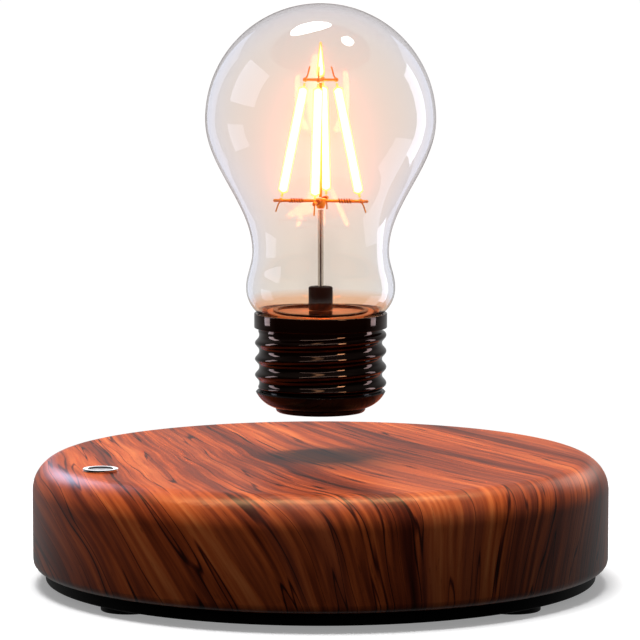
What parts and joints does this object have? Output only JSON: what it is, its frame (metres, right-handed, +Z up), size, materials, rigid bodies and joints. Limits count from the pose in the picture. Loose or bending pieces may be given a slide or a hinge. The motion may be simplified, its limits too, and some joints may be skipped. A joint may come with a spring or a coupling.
{
  "type": "levitating bulb lamp",
  "caption": "Round wooden base with a touch switch that holds a lit filament bulb floating above it on a magnetic field.",
  "frame": {"origin": "on the table, at the centre of the base's footprint", "axes": "+Z up through the base and the bulb's axis, -Y to the front, the power socket at +Y, the touch switch at the front left (-X, -Y)"},
  "size_m": [0.15, 0.15, 0.1508],
  "materials": {
    "wood": "satin",
    "tray_plastic": "satin",
    "rubber": "matte",
    "zinc_steel": "satin",
    "circuit_board": "satin",
    "copper_coil": "satin",
    "iron_core": "satin",
    "ferrite": "matte",
    "black_moulding": "matte",
    "capacitor_sleeve": "satin",
    "bright_bezel": "polished",
    "cap_metal": "polished",
    "cap_gloss_plastic": "gloss",
    "nickel": "polished",
    "deck_copper": "gloss",
    "post_plastic": "satin",
    "gold_wire": "gloss",
    "filament": "matte",
    "glass": "polished"
  },
  "bodies": {
    "base": {"base_shell": "wood", "base_tray": "tray_plastic", "foot_1": "rubber", "foot_2": "rubber", "foot_3": "rubber", "foot_4": "rubber", "tray_screw_1": "zinc_steel", "tray_screw_2": "zinc_steel", "tray_screw_3": "zinc_steel", "tray_screw_4": "zinc_steel", "board_screw_1": "zinc_steel", "board_screw_2": "zinc_steel", "board_screw_3": "zinc_steel", "board_screw_4": "zinc_steel", "main_board": "circuit_board", "electromagnet_1": "copper_coil", "electromagnet_2": "copper_coil", "electromagnet_3": "copper_coil", "electromagnet_4": "copper_coil", "magnet_core_1": "iron_core", "magnet_core_2": "iron_core", "magnet_core_3": "iron_core", "magnet_core_4": "iron_core", "ring_magnet": "ferrite", "coil_carrier": "ferrite", "transmit_coil": "copper_coil", "coil_lead_1": "copper_coil", "coil_lead_2": "copper_coil", "sensor_holder": "black_moulding", "sensor_left": "black_moulding", "sensor_right": "black_moulding", "control_chip": "black_moulding", "driver_chip_1": "black_moulding", "driver_chip_2": "black_moulding", "board_capacitor": "capacitor_sleeve", "power_socket": "black_moulding", "touch_bezel": "bright_bezel", "touch_pad": "bright_bezel", "touch_nut": "zinc_steel", "touch_lead": "black_moulding"},
    "magnet": {"float_magnet": "nickel"},
    "bulb": {"glass_envelope": "glass", "cap_shell": "cap_metal", "cap_collar": "cap_metal", "cap_base": "cap_gloss_plastic", "receiver_coil": "copper_coil", "rectifier_board": "circuit_board", "rectifier_chip": "black_moulding", "rectifier_capacitor": "capacitor_sleeve", "cap_deck": "deck_copper", "stem_post": "post_plastic", "stem_rod": "nickel", "support_wire": "gold_wire", "lower_spider": "gold_wire", "upper_spider": "gold_wire", "filament_right": "filament", "filament_back": "filament", "filament_left": "filament", "filament_front": "filament", "filament_tip": "filament"}
  },
  "joints": [
    {"name": "bulb_lift", "type": "slide", "parent": "base", "child": "magnet", "axis": [0, 0, 1], "range_m": [-0.0113, 0.1], "stiffness_N_per_m": 40, "springref_m": 0.02075},
    {"name": "bulb_spin", "type": "hinge", "parent": "magnet", "child": "bulb", "pos_m": [0, 0, 0.0448], "axis": [0, 0, 1], "continuous": true}
  ]
}
